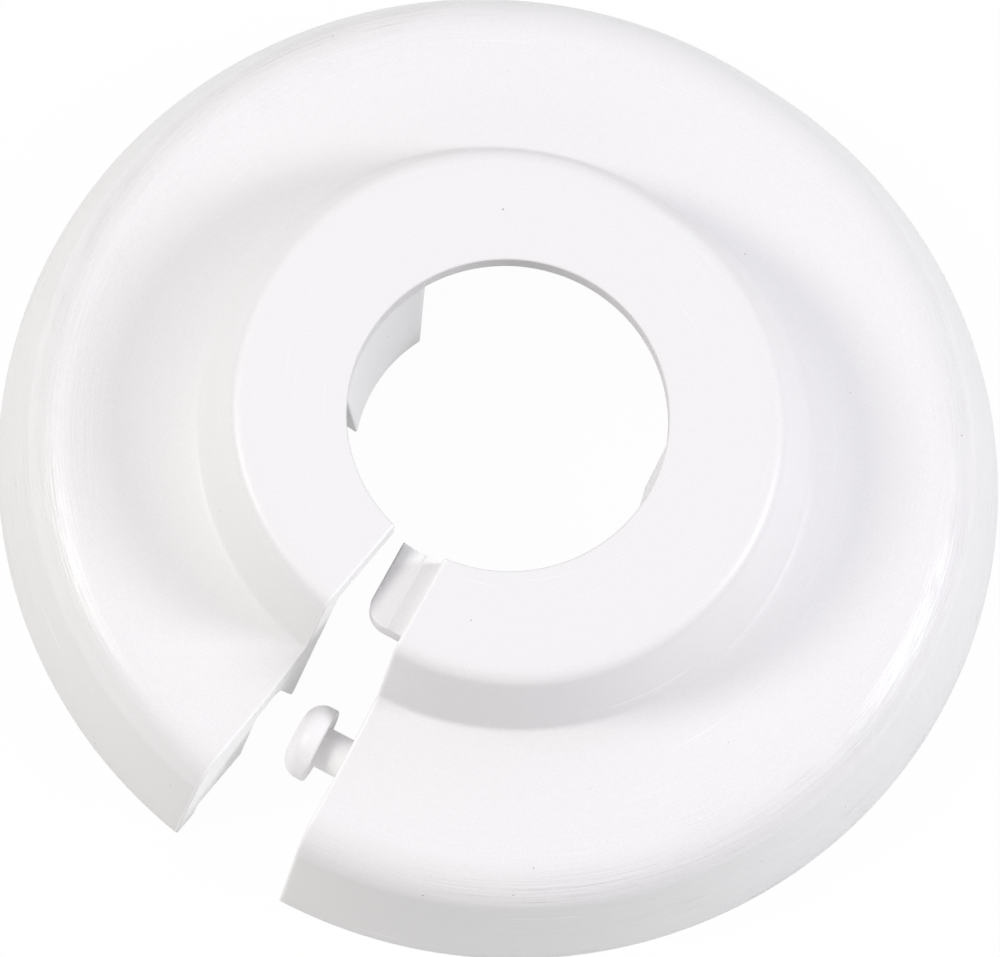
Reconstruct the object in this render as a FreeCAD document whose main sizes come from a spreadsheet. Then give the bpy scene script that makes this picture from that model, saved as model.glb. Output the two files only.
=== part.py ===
import FreeCAD, Part
import math
import os

import Sketcher

# Open snap-fit collar that covers the wall hole round a heating pipe, moulded in one piece.
# Millimetres, +Z up, base ring on z = 0, bore axis on Z, the gap opens towards -Y.
# The collar stands open, as moulded: each half is turned about its own centre, a little off the axis.

SIZES = [
    ("rim_radius", 27.5, "outer radius of the base ring about each half's own centre"),
    ("half_spread", 0.8, "each half's centre stands this far off the axis, across the gap"),
    ("gap_half_angle", 5.5, "each gap face leans this far off the gap's middle plane, degrees"),
    ("crest_height", 7.0, "height of the flange at its crest, just inside the rounded rim"),
    ("hollow_drop", 1.5, "the flange falls this far from the hub's foot to the crest"),
    ("hub_rise", 5.0, "height of the hub above its foot"),
    ("foot_radius", 16.4, "outer radius at the hub's foot"),
    ("draft", 17.0, "lean of the hub's wall and of the rim's band, degrees"),
    ("rim_round", 2.5, "outer rounding from the crest into the band"),
    ("hub_round", 1.0, "outer rounding of the hub's top edge"),
    ("foot_round", 0.5, "inside rounding at the hub's foot"),
    ("wall", 1.5, "wall thickness of the shell"),
    ("plate", 1.5, "thickness of the hub's top plate"),
    ("bore_radius", 9.0, "round hole in the top plate"),
    ("blank_share", 0.75, "the plate and lugs start at this share of the bore and are cut back to it"),
    ("lug_reach", 0.8, "the grip lugs stand this far inside the bore"),
    ("lug_lead", 8.2, "height over which the lugs curve in from the bore"),
    ("lug_width", 6.5, "width of a grip lug at its lower end"),
    ("lug_draft", 5.3, "lean of a lug's sides, which widen upwards, degrees"),
    ("lug_back", 1.0, "back of a lug behind the bore"),
    ("lug_bottom", 3.8, "height of the lugs' lower ends above the base"),
    ("tongue_outer", 13.6, "outer end of the tongue along its gap face"),
    ("tongue_length", 2.65, "the tongue stands this far out of its gap face"),
    ("tongue_neck", 1.1, "flat part of the tongue before the sloping nose"),
    ("tongue_thickness", 1.5, "thickness of the tongue"),
    ("tongue_nose", 0.7, "fall of the nose"),
    ("tongue_root", 2.0, "length of the tongue's root under its own plate"),
    ("tongue_corner", 1.4, "rounding of the tongue's outer corner"),
    ("slide_gap", 0.1, "clearance between the tongue and the plate it slides under"),
    ("web", 1.5, "thickness of the end webs at the gap faces"),
    ("web_bottom", 1.0, "height of the webs' lower edges above the base"),
    ("stud_share", 0.45, "the stud stands at this share of the way from the hub's foot to the crest"),
    ("stud_drop", 2.4, "the stud's axis lies this far below the crest"),
    ("shank_radius", 1.18, "shank of the stud"),
    ("shank_length", 1.7, "shank from the gap face to the head"),
    ("head_radius", 2.22, "head of the stud"),
    ("head_length", 1.58, "thickness of the head"),
    ("head_round", 1.1, "rounding of the head's front"),
    ("notch_gap", 0.1, "clearance round the shank in the notch of the other half"),
    ("notch_mouth", 5.0, "width of the notch at the web's lower edge"),
]

doc = FreeCAD.newDocument("radiator_pipe_collar")
sheet = doc.addObject("Spreadsheet::Sheet", "sizes")
for row, (alias, value, meaning) in enumerate(SIZES, start=1):
    sheet.set("A%d" % row, alias)
    sheet.set("B%d" % row, str(value))
    sheet.set("C%d" % row, meaning)
    sheet.setAlias("B%d" % row, alias)
doc.recompute()

# Measures that follow from the sizes above, as sheet formulas.
LEAN = "(sizes.draft * 1 deg)"
TURN = "(sizes.gap_half_angle * 1 deg)"
FOOT_HEIGHT = "(sizes.crest_height + sizes.hollow_drop)"
HEIGHT = "(sizes.crest_height + sizes.hollow_drop + sizes.hub_rise)"
UNDER_PLATE = "(%s - sizes.plate)" % HEIGHT
PLATE_MIDDLE = "(%s - sizes.plate / 2)" % HEIGHT
OVER_PLATE = "(%s + sizes.plate)" % HEIGHT
HUB_JOIN = "(%s - sizes.wall / 2)" % FOOT_HEIGHT
BAND_HEIGHT = "(sizes.crest_height - sizes.rim_round)"
RIM_RUN = "((sizes.rim_round + %s * sin(%s)) / cos(%s))" % (BAND_HEIGHT, LEAN, LEAN)
CREST_RADIUS = "(sizes.rim_radius - %s)" % RIM_RUN
HOLLOW_RUN = "(%s - sizes.foot_radius)" % CREST_RADIUS
HOLLOW_RADIUS = "((%s ^ 2 + sizes.hollow_drop ^ 2) / (2 * sizes.hollow_drop))" % HOLLOW_RUN
BLANK_RADIUS = "(sizes.blank_share * sizes.bore_radius)"
GRIP_RADIUS = "(sizes.bore_radius - sizes.lug_reach)"
LEAD_RADIUS = "((sizes.lug_reach ^ 2 + sizes.lug_lead ^ 2) / (2 * sizes.lug_reach))"
LEAD_END = "(%s - sizes.lug_lead)" % UNDER_PLATE
LUG_FLARE = "((%s - sizes.lug_bottom) * tan(sizes.lug_draft * 1 deg))" % PLATE_MIDDLE
LUG_TOP_HALF = "(sizes.lug_width / 2 + %s)" % LUG_FLARE
TONGUE_TOP = "(%s - sizes.slide_gap)" % UNDER_PLATE
TONGUE_LOW = "(%s - sizes.tongue_thickness)" % TONGUE_TOP
STUD_RADIUS = "(sizes.foot_radius + sizes.stud_share * %s)" % HOLLOW_RUN
STUD_HEIGHT = "(sizes.crest_height - sizes.stud_drop)"
NOTCH_RADIUS = "(sizes.shank_radius + sizes.notch_gap)"


def hub_inside(height):
    """Radius of the hub wall's inner face, carried on downwards, at a height given as a formula."""
    fall = "(%s - %s) * tan(%s)" % (height, FOOT_HEIGHT, LEAN)
    return "(sizes.foot_radius - %s - sizes.wall / cos(%s))" % (fall, LEAN)


def band_middle(height):
    """Radius of the middle of the rim's band at a height given as a formula."""
    fall = "%s * tan(%s)" % (height, LEAN)
    return "(sizes.rim_radius - %s - sizes.wall / (2 * cos(%s)))" % (fall, LEAN)


def size(formula):
    """Present number behind a sheet formula."""
    return float(sheet.evalExpression(formula))


body = doc.addObject("PartDesign::Body", "collar")
body.Label = "pipe_collar"
planes = {feature.Role: feature for feature in body.Origin.OriginFeatures}


def new_sketch(name, role, base=(), turn=None, axis=(0, 0, 1)):
    """Empty sketch on one of the body's own planes, shifted and turned by sheet formulas."""
    sketch = body.newObject("Sketcher::SketchObject", name)
    sketch.AttachmentSupport = [(planes[role], "")]
    sketch.MapMode = "FlatFace"
    start = FreeCAD.Rotation(FreeCAD.Vector(*axis), 1)
    sketch.AttachmentOffset = FreeCAD.Placement(FreeCAD.Vector(0, 0, 0), start)
    sketch.setExpression("AttachmentOffset.Rotation.Angle", turn or "0 deg")
    for direction, formula in base:
        sketch.setExpression("AttachmentOffset.Base.%s" % direction, formula)
    return sketch


def left_face_sketch(name):
    """Empty sketch on the left gap face, radius to the right and height up."""
    spread = [("z", "-sizes.half_spread")]
    return new_sketch(name, "YZ_Plane", base=spread, turn="180 deg - %s" % TURN, axis=(0, 1, 0))


def hold(sketch, kind, where, formula):
    """Driving dimension of a sketch, bound to a sheet formula."""
    value = size(formula)
    unit = "1 deg" if kind == "Angle" else "1 mm"
    start = math.radians(value) if kind == "Angle" else value
    index = sketch.addConstraint(Sketcher.Constraint(kind, *where, start))
    sketch.setExpression("Constraints[%d]" % index, "%s * %s" % (formula, unit))


def tie(sketch, *constraints):
    """Geometric constraints of a sketch."""
    for constraint in constraints:
        sketch.addConstraint(Sketcher.Constraint(*constraint))


def line(sketch, start, end):
    """Straight edge between two points of the sketch plane."""
    edge = Part.LineSegment(FreeCAD.Vector(*start, 0), FreeCAD.Vector(*end, 0))
    return sketch.addGeometry(edge, False)


def arc(sketch, centre, start, end):
    """Round edge about a centre, running counter-clockwise from one point to another."""
    first = math.atan2(start[1] - centre[1], start[0] - centre[0])
    last = math.atan2(end[1] - centre[1], end[0] - centre[0])
    circle = Part.Circle(FreeCAD.Vector(*centre, 0), FreeCAD.Vector(0, 0, 1), math.dist(centre, start))
    return sketch.addGeometry(Part.ArcOfCircle(circle, first, last), False)


def leaving(point, way, centre, radius):
    """Point where a line that starts inside a circle leaves it."""
    apart = (point[0] - centre[0], point[1] - centre[1])
    along = apart[0] * way[0] + apart[1] * way[1]
    reach = math.sqrt(along ** 2 + radius ** 2 - apart[0] ** 2 - apart[1] ** 2) - along
    return (point[0] + reach * way[0], point[1] + reach * way[1])


def polygon(sketch, corners):
    """Closed outline of straight edges, each corner held by two sheet formulas."""
    points = [(size(across), size(along)) for across, along in corners]
    edges = [line(sketch, points[i], points[(i + 1) % len(points)]) for i in range(len(points))]
    for i, edge in enumerate(edges):
        tie(sketch, ("Coincident", edge, 2, edges[(i + 1) % len(edges)], 1))
    for edge, (across, along) in zip(edges, corners):
        hold(sketch, "DistanceX", (-1, 1, edge, 1), across)
        hold(sketch, "DistanceY", (-1, 1, edge, 1), along)


def settled(feature):
    """Recompute and return a feature once it stands without an error."""
    doc.recompute()
    failed = {"Invalid", "Error"} & set(feature.State)
    if failed or feature.Shape.isNull() or not feature.Shape.isValid():
        raise RuntimeError("feature %s failed: %s" % (feature.Name, feature.State))
    return feature


def grown(feature, before, sign):
    """A feature must add to (sign 1) or take from (sign -1) the volume before it."""
    settled(feature)
    if sign * (feature.Shape.Volume - before) <= 0:
        raise RuntimeError("feature %s changed nothing" % feature.Name)
    return feature.Shape.Volume


def mirrored(name, feature):
    """The same feature on the other half."""
    copy = body.newObject("PartDesign::Mirrored", name)
    copy.Originals = [feature]
    copy.MirrorPlane = (planes["YZ_Plane"], [""])
    body.Tip = copy
    return copy


# Wall section: plate, rounded hub edge, hub wall, hollow flange, rounded rim, band, and the inside line.
lean = math.radians(size("sizes.draft"))
wall = size("sizes.wall")
top = size(HEIGHT)
foot = (size("sizes.foot_radius"), size(FOOT_HEIGHT))
crest = (size(CREST_RADIUS), size("sizes.crest_height"))
rim_centre = (crest[0], size(BAND_HEIGHT))
hollow_centre = (crest[0], crest[1] + size(HOLLOW_RADIUS))
rim_round = size("sizes.rim_round")
hub_round = size("sizes.hub_round")
hub_corner = foot[0] - size("sizes.hub_rise") * math.tan(lean)
edge_run = hub_round * math.tan((math.pi / 2 - lean) / 2)
plate_end = (hub_corner - edge_run, top)
hub_start = (hub_corner + edge_run * math.sin(lean), top - edge_run * math.cos(lean))
band_top = (rim_centre[0] + rim_round * math.cos(lean), rim_centre[1] + rim_round * math.sin(lean))
band_inside = (band_top[0] - wall * math.cos(lean), band_top[1] - wall * math.sin(lean))
rim = (size("sizes.rim_radius"), 0)
rim_inside = (rim[0] - wall / math.cos(lean), 0)
crest_under = (crest[0], crest[1] - wall)
under_plate = size(UNDER_PLATE)
inner_top = (size(hub_inside(UNDER_PLATE)), under_plate)
down_hub = (math.sin(lean), -math.cos(lean))
inner_foot = leaving(inner_top, down_hub, hollow_centre, size(HOLLOW_RADIUS) + wall)
blank = size(BLANK_RADIUS)

section = new_sketch("section", "YZ_Plane", base=[("z", "-sizes.half_spread")])
plate_top = line(section, (blank, top), plate_end)
hub_edge = arc(section, (plate_end[0], top - hub_round), hub_start, plate_end)
hub_wall = line(section, hub_start, foot)
hollow = arc(section, hollow_centre, foot, crest)
rounding = arc(section, rim_centre, band_top, crest)
band = line(section, band_top, rim)
base_ring = line(section, rim, rim_inside)
band_in = line(section, rim_inside, band_inside)
rounding_in = arc(section, rim_centre, band_inside, crest_under)
hollow_in = arc(section, hollow_centre, inner_foot, crest_under)
hub_in = line(section, inner_foot, inner_top)
plate_under = line(section, inner_top, (blank, under_plate))
bore_side = line(section, (blank, under_plate), (blank, top))
tie(
    section,
    ("Tangent", plate_top, 2, hub_edge, 2),
    ("Tangent", hub_edge, 1, hub_wall, 1),
    ("Coincident", hub_wall, 2, hollow, 1),
    ("Tangent", hollow, 2, rounding, 2),
    ("Vertical", hollow, 3, hollow, 2),
    ("Tangent", rounding, 1, band, 1),
    ("Coincident", band, 2, base_ring, 1),
    ("PointOnObject", band, 2, -1),
    ("Coincident", base_ring, 2, band_in, 1),
    ("Tangent", band_in, 2, rounding_in, 1),
    ("Coincident", rounding_in, 3, rounding, 3),
    ("Tangent", rounding_in, 2, hollow_in, 2),
    ("Coincident", hollow_in, 3, hollow, 3),
    ("Coincident", hollow_in, 1, hub_in, 1),
    ("Coincident", hub_in, 2, plate_under, 1),
    ("Coincident", plate_under, 2, bore_side, 1),
    ("Coincident", bore_side, 2, plate_top, 1),
    ("Horizontal", plate_top),
    ("Horizontal", base_ring),
    ("Horizontal", plate_under),
    ("Vertical", bore_side),
    ("Parallel", hub_in, hub_wall),
    ("Parallel", band_in, band),
    ("Parallel", band, hub_wall),
)
hold(section, "Angle", (hub_wall,), "(sizes.draft - 90)")
hold(section, "DistanceX", (-1, 1, plate_top, 1), BLANK_RADIUS)
hold(section, "DistanceY", (-1, 1, plate_top, 1), HEIGHT)
hold(section, "DistanceX", (-1, 1, hollow, 1), "sizes.foot_radius")
hold(section, "DistanceY", (-1, 1, hollow, 1), FOOT_HEIGHT)
hold(section, "DistanceY", (-1, 1, hollow, 2), "sizes.crest_height")
hold(section, "DistanceX", (-1, 1, band, 2), "sizes.rim_radius")
hold(section, "DistanceY", (plate_under, 2, plate_top, 1), "sizes.plate")
hold(section, "Radius", (hub_edge,), "sizes.hub_round")
hold(section, "Radius", (rounding,), "sizes.rim_round")
hold(section, "Distance", (band_in, 1, band), "sizes.wall")
hold(section, "Distance", (hub_in, 2, hub_wall), "sizes.wall")

# Far side: the short straight between the two halves, then each half turned about its own centre.
straight = body.newObject("PartDesign::Pad", "far_straight")
straight.Profile = section
straight.setExpression("Length", "2 * sizes.half_spread")
volume = grown(straight, 0, 1)

half_turn = body.newObject("PartDesign::Revolution", "left_half")
half_turn.Profile = section
half_turn.ReferenceAxis = (section, ["V_Axis"])
half_turn.setExpression("Angle", "180 - sizes.gap_half_angle")
volume = grown(half_turn, volume, 1)
right_half = mirrored("right_half", half_turn)
volume = grown(right_half, volume, 1)
foot_edges = [
    "Edge%d" % (i + 1)
    for i, edge in enumerate(right_half.Shape.Edges)
    if all(abs(vertex.Z - foot[1]) < wall / 100 for vertex in edge.Vertexes)
]
foot_round = body.newObject("PartDesign::Fillet", "foot_round")
foot_round.Base = (right_half, foot_edges)
foot_round.setExpression("Radius", "sizes.foot_round")
volume = grown(foot_round, volume, 1)

# Grip lugs: tabs under the plate that narrow downwards, one in the middle of each half.
lug_face = new_sketch("lug_face", "YZ_Plane", base=[("z", "sizes.bore_radius + sizes.lug_back")])
polygon(
    lug_face,
    [
        ("-sizes.lug_width / 2", "sizes.lug_bottom"),
        ("sizes.lug_width / 2", "sizes.lug_bottom"),
        (LUG_TOP_HALF, PLATE_MIDDLE),
        ("-%s" % LUG_TOP_HALF, PLATE_MIDDLE),
    ],
)
lug = body.newObject("PartDesign::Pad", "lug")
lug.Profile = lug_face
lug.Reversed = True
lug.setExpression("Length", "sizes.bore_radius + sizes.lug_back - %s" % BLANK_RADIUS)
volume = grown(lug, volume, 1)
volume = grown(mirrored("lug_left", lug), volume, 1)

# Tongue on the right gap face: rooted under its own plate, a flat neck and a nose that slopes down.
tongue_side = new_sketch(
    "tongue_side",
    "XZ_Plane",
    base=[
        ("x", "sizes.half_spread + sizes.tongue_outer * sin(%s)" % TURN),
        ("z", "sizes.tongue_outer * cos(%s)" % TURN),
    ],
    turn=TURN,
    axis=(0, 1, 0),
)
polygon(
    tongue_side,
    [
        ("sizes.tongue_root", TONGUE_LOW),
        ("sizes.tongue_root", PLATE_MIDDLE),
        ("0", PLATE_MIDDLE),
        ("0", TONGUE_TOP),
        ("-sizes.tongue_neck", TONGUE_TOP),
        ("-sizes.tongue_length", "(%s - sizes.tongue_nose)" % TONGUE_TOP),
        ("-sizes.tongue_length", TONGUE_LOW),
    ],
)
tongue = body.newObject("PartDesign::Pad", "tongue")
tongue.Profile = tongue_side
tongue.Reversed = True
tongue.setExpression("Length", "sizes.tongue_outer - %s" % BLANK_RADIUS)
volume = grown(tongue, volume, 1)

# Bore: round through the plate, then curved in to the lugs' gripping faces.
bore_section = new_sketch("bore_section", "YZ_Plane")
bore = size("sizes.bore_radius")
grip = size(GRIP_RADIUS)
lead_centre = (grip + size(LEAD_RADIUS), size(LEAD_END))
cut_top = line(bore_section, (0, size(OVER_PLATE)), (bore, size(OVER_PLATE)))
cut_plate = line(bore_section, (bore, size(OVER_PLATE)), (bore, under_plate))
cut_lead = arc(bore_section, lead_centre, (bore, under_plate), (grip, lead_centre[1]))
cut_grip = line(bore_section, (grip, lead_centre[1]), (grip, 0))
cut_base = line(bore_section, (grip, 0), (0, 0))
cut_axis = line(bore_section, (0, 0), (0, size(OVER_PLATE)))
tie(
    bore_section,
    ("Coincident", cut_top, 2, cut_plate, 1),
    ("Coincident", cut_plate, 2, cut_lead, 1),
    ("Tangent", cut_lead, 2, cut_grip, 1),
    ("Coincident", cut_grip, 2, cut_base, 1),
    ("Coincident", cut_base, 2, cut_axis, 1),
    ("Coincident", cut_axis, 2, cut_top, 1),
    ("Coincident", cut_base, 2, -1, 1),
    ("Horizontal", cut_top),
    ("Horizontal", cut_base),
    ("Vertical", cut_plate),
    ("Vertical", cut_grip),
    ("Vertical", cut_axis),
)
hold(bore_section, "DistanceY", (-1, 1, cut_top, 1), OVER_PLATE)
hold(bore_section, "DistanceX", (-1, 1, cut_plate, 2), "sizes.bore_radius")
hold(bore_section, "DistanceY", (-1, 1, cut_plate, 2), UNDER_PLATE)
hold(bore_section, "DistanceX", (-1, 1, cut_grip, 1), GRIP_RADIUS)
hold(bore_section, "DistanceY", (-1, 1, cut_grip, 1), LEAD_END)
bore_cut = body.newObject("PartDesign::Groove", "bore")
bore_cut.Profile = bore_section
bore_cut.ReferenceAxis = (bore_section, ["V_Axis"])
bore_cut.Angle = 360
volume = grown(bore_cut, volume, -1)

# Tongue's outer corner, rounded in plan.
turn = math.radians(size("sizes.gap_half_angle"))
reach = size("sizes.tongue_outer")
length = size("sizes.tongue_length")
corner = FreeCAD.Vector(
    size("sizes.half_spread") + reach * math.sin(turn) - length * math.cos(turn),
    -reach * math.cos(turn) - length * math.sin(turn),
    size(TONGUE_LOW),
)
names = [
    "Edge%d" % (i + 1)
    for i, edge in enumerate(bore_cut.Shape.Edges)
    if all(math.hypot(v.X - corner.x, v.Y - corner.y) < wall / 100 for v in edge.Vertexes)
]
tongue_corner = body.newObject("PartDesign::Fillet", "tongue_corner")
tongue_corner.Base = (bore_cut, names)
tongue_corner.setExpression("Radius", "sizes.tongue_corner")
volume = grown(tongue_corner, volume, -1)

# End webs close the hollow flange at both gap faces.
web_face = left_face_sketch("web_face")
polygon(
    web_face,
    [
        (hub_inside("sizes.web_bottom"), "sizes.web_bottom"),
        (hub_inside(HUB_JOIN), HUB_JOIN),
        (CREST_RADIUS, "(sizes.crest_height - sizes.wall / 2)"),
        (band_middle(BAND_HEIGHT), BAND_HEIGHT),
        (band_middle("sizes.web_bottom"), "sizes.web_bottom"),
    ],
)
web = body.newObject("PartDesign::Pad", "web_left")
web.Profile = web_face
web.setExpression("Length", "sizes.web")
volume = grown(web, volume, 1)
volume = grown(mirrored("web_right", web), volume, 1)

# Notch in the left web: round at the top, flared towards its open lower end, for the stud's shank.
notch_face = left_face_sketch("notch_face")
stud_radius = size(STUD_RADIUS)
stud_height = size(STUD_HEIGHT)
notch_radius = size(NOTCH_RADIUS)
half_mouth = size("sizes.notch_mouth / 2")
notch_right = (stud_radius + notch_radius, stud_height)
notch_left = (stud_radius - notch_radius, stud_height)
mouth_right = (stud_radius + half_mouth, 0)
mouth_left = (stud_radius - half_mouth, 0)
notch_top = arc(notch_face, (stud_radius, stud_height), notch_right, notch_left)
flare_left = line(notch_face, notch_left, mouth_left)
mouth = line(notch_face, mouth_left, mouth_right)
flare_right = line(notch_face, mouth_right, notch_right)
tie(
    notch_face,
    ("Coincident", notch_top, 2, flare_left, 1),
    ("Coincident", flare_left, 2, mouth, 1),
    ("Coincident", mouth, 2, flare_right, 1),
    ("Coincident", flare_right, 2, notch_top, 1),
    ("Horizontal", notch_top, 1, notch_top, 3),
    ("Horizontal", notch_top, 2, notch_top, 3),
    ("PointOnObject", mouth, 1, -1),
    ("PointOnObject", mouth, 2, -1),
)
hold(notch_face, "Radius", (notch_top,), NOTCH_RADIUS)
hold(notch_face, "DistanceX", (-1, 1, notch_top, 3), STUD_RADIUS)
hold(notch_face, "DistanceY", (-1, 1, notch_top, 3), STUD_HEIGHT)
hold(notch_face, "DistanceX", (-1, 1, mouth, 1), "(%s - sizes.notch_mouth / 2)" % STUD_RADIUS)
hold(notch_face, "DistanceX", (-1, 1, mouth, 2), "(%s + sizes.notch_mouth / 2)" % STUD_RADIUS)
notch = body.newObject("PartDesign::Pocket", "notch")
notch.Profile = notch_face
notch.Reversed = True
notch.setExpression("Length", "sizes.web + sizes.notch_gap")
volume = grown(notch, volume, -1)

# Stud on the right web: shank and mushroom head, square to the gap face.
stud_plan = new_sketch(
    "stud_plan",
    "XY_Plane",
    base=[
        ("x", "sizes.half_spread + %s * sin(%s)" % (STUD_RADIUS, TURN)),
        ("y", "-%s * cos(%s)" % (STUD_RADIUS, TURN)),
        ("z", STUD_HEIGHT),
    ],
    turn="90 deg + %s" % TURN,
)
shank = size("sizes.shank_radius")
head = size("sizes.head_radius")
head_back = size("sizes.shank_length")
head_front = head_back + size("sizes.head_length")
head_round = size("sizes.head_round")
root = -size("sizes.web / 2")
round_centre = (head - head_round, head_front - head_round)
stud_root = line(stud_plan, (0, root), (shank, root))
stud_shank = line(stud_plan, (shank, root), (shank, head_back))
stud_back = line(stud_plan, (shank, head_back), (head, head_back))
stud_side = line(stud_plan, (head, head_back), (head, round_centre[1]))
stud_round = arc(stud_plan, round_centre, (head, round_centre[1]), (round_centre[0], head_front))
stud_front = line(stud_plan, (round_centre[0], head_front), (0, head_front))
stud_axis = line(stud_plan, (0, head_front), (0, root))
tie(
    stud_plan,
    ("Coincident", stud_root, 2, stud_shank, 1),
    ("Coincident", stud_shank, 2, stud_back, 1),
    ("Coincident", stud_back, 2, stud_side, 1),
    ("Tangent", stud_side, 2, stud_round, 1),
    ("Tangent", stud_round, 2, stud_front, 1),
    ("Coincident", stud_front, 2, stud_axis, 1),
    ("Coincident", stud_axis, 2, stud_root, 1),
    ("Horizontal", stud_root),
    ("Vertical", stud_shank),
    ("Horizontal", stud_back),
    ("Vertical", stud_side),
    ("Horizontal", stud_front),
    ("PointOnObject", stud_axis, 1, -2),
    ("PointOnObject", stud_axis, 2, -2),
)
hold(stud_plan, "DistanceY", (stud_root, 1, -1, 1), "sizes.web / 2")
hold(stud_plan, "DistanceX", (-1, 1, stud_shank, 1), "sizes.shank_radius")
hold(stud_plan, "DistanceY", (-1, 1, stud_back, 1), "sizes.shank_length")
hold(stud_plan, "DistanceX", (-1, 1, stud_side, 1), "sizes.head_radius")
hold(stud_plan, "DistanceY", (-1, 1, stud_front, 2), "(sizes.shank_length + sizes.head_length)")
hold(stud_plan, "Radius", (stud_round,), "sizes.head_round")
stud = body.newObject("PartDesign::Revolution", "stud")
stud.Profile = stud_plan
stud.ReferenceAxis = (stud_plan, ["V_Axis"])
stud.Angle = 360
volume = grown(stud, volume, 1)

body.Tip = stud
doc.recompute()
for item in doc.Objects:
    if {"Invalid", "Error"} & set(item.State):
        raise RuntimeError("object %s failed: %s" % (item.Name, item.State))
for sketch in doc.findObjects("Sketcher::SketchObject"):
    if not sketch.FullyConstrained:
        raise RuntimeError("sketch %s is not fully held" % sketch.Name)
if body.Shape.isNull() or not body.Shape.isValid() or len(body.Shape.Solids) != 1:
    raise RuntimeError("the collar is not one valid solid")

os.makedirs("parts", exist_ok=True)
body.Shape.exportStep("parts/%s.step" % body.Label)
box = body.Shape.optimalBoundingBox()
print("volume %.1f mm3, box x %.2f %.2f y %.2f %.2f z %.2f %.2f" % (
    body.Shape.Volume, box.XMin, box.XMax, box.YMin, box.YMax, box.ZMin, box.ZMax))
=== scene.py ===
import math

import bmesh
import bpy
import numpy as np
from mathutils import Matrix, Vector


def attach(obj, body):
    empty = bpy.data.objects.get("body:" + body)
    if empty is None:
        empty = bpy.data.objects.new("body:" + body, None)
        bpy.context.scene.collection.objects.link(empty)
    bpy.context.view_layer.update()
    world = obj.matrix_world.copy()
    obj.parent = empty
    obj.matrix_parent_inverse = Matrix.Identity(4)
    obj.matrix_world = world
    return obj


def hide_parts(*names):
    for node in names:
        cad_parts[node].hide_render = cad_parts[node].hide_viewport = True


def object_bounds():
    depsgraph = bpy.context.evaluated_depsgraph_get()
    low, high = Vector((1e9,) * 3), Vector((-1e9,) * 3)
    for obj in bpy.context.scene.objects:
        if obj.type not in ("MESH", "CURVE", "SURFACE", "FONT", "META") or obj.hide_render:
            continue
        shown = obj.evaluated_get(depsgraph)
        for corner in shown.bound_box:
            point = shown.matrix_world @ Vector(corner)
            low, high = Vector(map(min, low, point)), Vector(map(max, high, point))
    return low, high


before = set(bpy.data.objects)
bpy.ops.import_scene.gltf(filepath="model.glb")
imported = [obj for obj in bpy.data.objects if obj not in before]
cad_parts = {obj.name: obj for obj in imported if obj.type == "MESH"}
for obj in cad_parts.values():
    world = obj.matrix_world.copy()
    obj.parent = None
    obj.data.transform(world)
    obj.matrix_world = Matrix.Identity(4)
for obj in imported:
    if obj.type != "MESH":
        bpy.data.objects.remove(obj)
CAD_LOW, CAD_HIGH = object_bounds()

# Open plastic pipe collar, one moulded piece, lying on a white floor with its gap towards -Y.
# Metres, +Z up, bore axis on Z, base ring on z = 0. Each half is turned about its own centre.

MM = 0.001
UP = np.array([0, 0, 1.0])

# Plan: rim, spread of the two halves, gap.
LEFT, RIGHT = -1, 1
RIM_RADIUS = CAD_HIGH.y
HALF_SPREAD = 0.8 * MM
GAP_LEAN = math.radians(5.5)

# Wall section, from the plate over hub and flange to the base ring.
TOP = CAD_HIGH.z
PLATE = 1.5 * MM
WALL = 1.5 * MM
BORE = 9.0 * MM
CREST_HEIGHT = 7.0 * MM
HOLLOW_DROP = 1.5 * MM
FOOT_RADIUS = 16.4 * MM
DRAFT = math.radians(17.0)
RIM_ROUND = 2.5 * MM
HUB_ROUND = 1.0 * MM
FOOT_ROUND = 0.5 * MM
INSIDE_ROUND = 0.25 * MM
EDGE_ROUND = 0.12 * MM

# Grip lugs under the plate.
LUG_REACH = 0.8 * MM
LUG_LEAD = 8.2 * MM
LUG_WIDTH = 6.5 * MM
LUG_DRAFT = math.radians(5.3)
LUG_BACK = 1.0 * MM
LUG_BOTTOM = 3.8 * MM

# Snap tongue under the plate, on the right gap face.
TONGUE_OUTER = 13.6 * MM
TONGUE_LENGTH = 2.65 * MM
TONGUE_NECK = 1.1 * MM
TONGUE_THICKNESS = 1.5 * MM
TONGUE_NOSE = 0.7 * MM
TONGUE_ROOT = 2.0 * MM
TONGUE_CORNER = 1.4 * MM
TONGUE_BEND = 0.12 * MM
TONGUE_EDGE = EDGE_ROUND / 3
SLIDE_GAP = 0.1 * MM
RIDGE = 0.07 * MM
RIDGE_FALL = 0.022 * MM

# End webs, stud on the right one, notch in the left one.
WEB = 1.5 * MM
WEB_BOTTOM = 1.0 * MM
WEB_EDGE = EDGE_ROUND / 2
SILL_INSET = 0.02
STUD_SHARE = 0.45
STUD_DROP = 2.4 * MM
SHANK_RADIUS = 1.18 * MM
SHANK_LENGTH = 1.7 * MM
SHANK_END = 0.1 * MM
HEAD_RADIUS = 2.22 * MM
HEAD_LENGTH = 1.58 * MM
HEAD_ROUND = 1.1 * MM
NOTCH_GAP = 0.1 * MM
NOTCH_MOUTH = 5.0 * MM
SET_BACK = 0.03 * MM

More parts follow.
